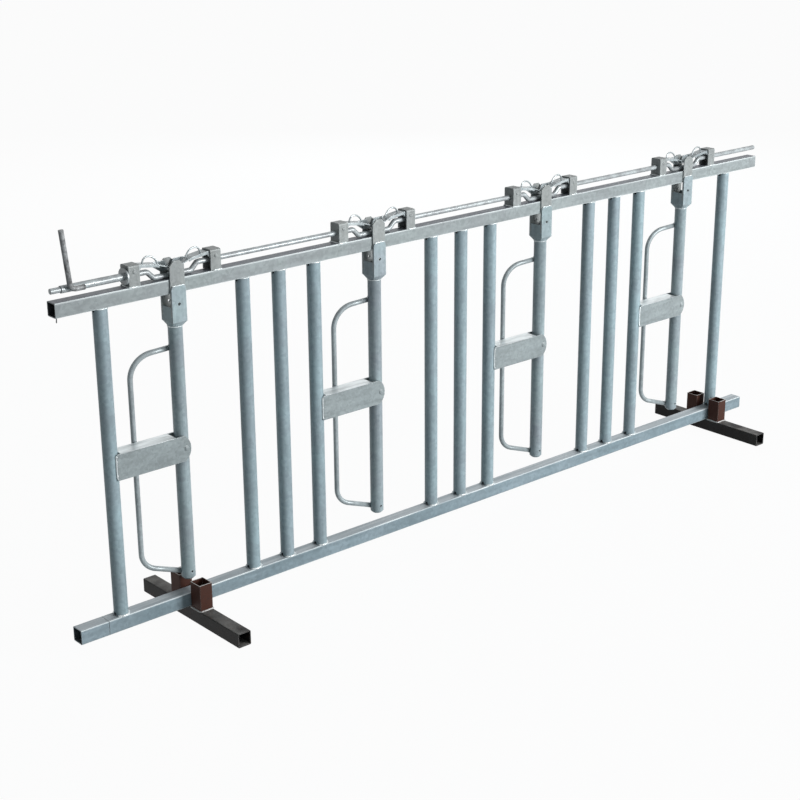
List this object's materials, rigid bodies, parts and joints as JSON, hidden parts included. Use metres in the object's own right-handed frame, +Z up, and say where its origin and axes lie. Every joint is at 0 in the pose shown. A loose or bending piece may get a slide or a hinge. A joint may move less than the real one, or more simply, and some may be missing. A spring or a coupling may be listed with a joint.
{
  "type": "cattle headlock feeder panel",
  "caption": "Free-standing tubular feed front whose pivoting arms swing between posts and are held by latches that one cranked rod with a handle releases together.",
  "frame": {"origin": "on the floor, midway along the rails and under their centre plane", "axes": "+X along the rails towards the right foot as seen from the feed side, +Y away from the feed side, +Z up"},
  "size_m": [3.008, 0.5, 1.2487],
  "materials": {
    "galvanised_tube": "hot-dip galvanised, dull spangle",
    "galvanised_rail": "hot-dip galvanised square tube",
    "galvanised_plate": "hot-dip galvanised flat bar with welds",
    "galvanised_rod": "hot-dip galvanised round bar",
    "galvanised_latch": "galvanised pressed plate",
    "plated_rod": "bright zinc plated round bar",
    "mill_scale_foot": "dark mill scale on square tube",
    "primer_socket": "dark red-brown primer with bare cut edges"
  },
  "bodies": {
    "frame": {"top_rail": "galvanised_rail", "bottom_rail": "galvanised_rail", "bottom_rail_stub": "galvanised_rail", "post_01": "galvanised_tube", "post_02": "galvanised_tube", "post_03": "galvanised_tube", "post_04": "galvanised_tube", "post_05": "galvanised_tube", "post_06": "galvanised_tube", "post_07": "galvanised_tube", "post_08": "galvanised_tube", "post_09": "galvanised_tube", "post_10": "galvanised_tube", "post_11": "galvanised_tube", "pivot_channel_1": "galvanised_plate", "pivot_channel_2": "galvanised_plate", "pivot_channel_3": "galvanised_plate", "pivot_channel_4": "galvanised_plate", "latch_bracket_1_left": "galvanised_plate", "latch_bracket_1_right": "galvanised_plate", "latch_bracket_2_left": "galvanised_plate", "latch_bracket_2_right": "galvanised_plate", "latch_bracket_3_left": "galvanised_plate", "latch_bracket_3_right": "galvanised_plate", "latch_bracket_4_left": "galvanised_plate", "latch_bracket_4_right": "galvanised_plate", "foot_left": "mill_scale_foot", "foot_right": "mill_scale_foot", "socket_left_front": "primer_socket", "socket_left_back": "primer_socket", "socket_right_front": "primer_socket", "socket_right_back": "primer_socket"},
    "arm_1": {"arm_1_tube": "galvanised_tube", "arm_1_front_strap": "galvanised_plate", "arm_1_rear_strap": "galvanised_plate", "arm_1_guard_rod": "galvanised_rod"},
    "arm_2": {"arm_2_tube": "galvanised_tube", "arm_2_front_strap": "galvanised_plate", "arm_2_rear_strap": "galvanised_plate", "arm_2_guard_rod": "galvanised_rod"},
    "arm_3": {"arm_3_tube": "galvanised_tube", "arm_3_front_strap": "galvanised_plate", "arm_3_rear_strap": "galvanised_plate", "arm_3_guard_rod": "galvanised_rod"},
    "arm_4": {"arm_4_tube": "galvanised_tube", "arm_4_front_strap": "galvanised_plate", "arm_4_rear_strap": "galvanised_plate", "arm_4_guard_rod": "galvanised_rod"},
    "release_rod": {"release_rod": "plated_rod", "rod_sleeve": "plated_rod", "release_handle": "plated_rod"},
    "latch_1_left": {"latch_1_left": "galvanised_latch"},
    "latch_1_right": {"latch_1_right": "galvanised_latch"},
    "latch_2_left": {"latch_2_left": "galvanised_latch"},
    "latch_2_right": {"latch_2_right": "galvanised_latch"},
    "latch_3_left": {"latch_3_left": "galvanised_latch"},
    "latch_3_right": {"latch_3_right": "galvanised_latch"},
    "latch_4_left": {"latch_4_left": "galvanised_latch"},
    "latch_4_right": {"latch_4_right": "galvanised_latch"}
  },
  "joints": [
    {"name": "arm_1_swing", "type": "hinge", "parent": "frame", "child": "arm_1", "pos_m": [-1.116, 0, 0.5485], "axis": [0, 1, 0], "range_deg": [-10.5, 10.5]},
    {"name": "arm_2_swing", "type": "hinge", "parent": "frame", "child": "arm_2", "pos_m": [-0.378, 0, 0.5485], "axis": [0, 1, 0], "range_deg": [-10.5, 10.5]},
    {"name": "arm_3_swing", "type": "hinge", "parent": "frame", "child": "arm_3", "pos_m": [0.36, 0, 0.5485], "axis": [0, 1, 0], "range_deg": [-10.5, 10.5]},
    {"name": "arm_4_swing", "type": "hinge", "parent": "frame", "child": "arm_4", "pos_m": [1.098, 0, 0.5485], "axis": [0, 1, 0], "range_deg": [-10.5, 10.5]},
    {"name": "release_rod_turn", "type": "hinge", "parent": "frame", "child": "release_rod", "pos_m": [0, 0, 1.084], "axis": [-1, 0, 0], "range_deg": [0, 35]},
    {"name": "latch_1_left_drop", "type": "hinge", "parent": "frame", "child": "latch_1_left", "pos_m": [-1.251, 0, 1.097], "axis": [0, 1, 0], "range_deg": [0, 3]},
    {"name": "latch_1_right_drop", "type": "hinge", "parent": "frame", "child": "latch_1_right", "pos_m": [-0.981, 0, 1.097], "axis": [0, -1, 0], "range_deg": [0, 3]},
    {"name": "latch_2_left_drop", "type": "hinge", "parent": "frame", "child": "latch_2_left", "pos_m": [-0.513, 0, 1.097], "axis": [0, 1, 0], "range_deg": [0, 3]},
    {"name": "latch_2_right_drop", "type": "hinge", "parent": "frame", "child": "latch_2_right", "pos_m": [-0.243, 0, 1.097], "axis": [0, -1, 0], "range_deg": [0, 3]},
    {"name": "latch_3_left_drop", "type": "hinge", "parent": "frame", "child": "latch_3_left", "pos_m": [0.225, 0, 1.097], "axis": [0, 1, 0], "range_deg": [0, 3]},
    {"name": "latch_3_right_drop", "type": "hinge", "parent": "frame", "child": "latch_3_right", "pos_m": [0.495, 0, 1.097], "axis": [0, -1, 0], "range_deg": [0, 3]},
    {"name": "latch_4_left_drop", "type": "hinge", "parent": "frame", "child": "latch_4_left", "pos_m": [0.963, 0, 1.097], "axis": [0, 1, 0], "range_deg": [0, 3]},
    {"name": "latch_4_right_drop", "type": "hinge", "parent": "frame", "child": "latch_4_right", "pos_m": [1.233, 0, 1.097], "axis": [0, -1, 0], "range_deg": [0, 3]}
  ],
  "couplings": [
    {"joint": "latch_1_left_drop", "follows": "release_rod_turn", "ratio": 0.085714},
    {"joint": "latch_1_right_drop", "follows": "release_rod_turn", "ratio": 0.085714},
    {"joint": "latch_2_left_drop", "follows": "release_rod_turn", "ratio": 0.085714},
    {"joint": "latch_2_right_drop", "follows": "release_rod_turn", "ratio": 0.085714},
    {"joint": "latch_3_left_drop", "follows": "release_rod_turn", "ratio": 0.085714},
    {"joint": "latch_3_right_drop", "follows": "release_rod_turn", "ratio": 0.085714},
    {"joint": "latch_4_left_drop", "follows": "release_rod_turn", "ratio": 0.085714},
    {"joint": "latch_4_right_drop", "follows": "release_rod_turn", "ratio": 0.085714}
  ]
}
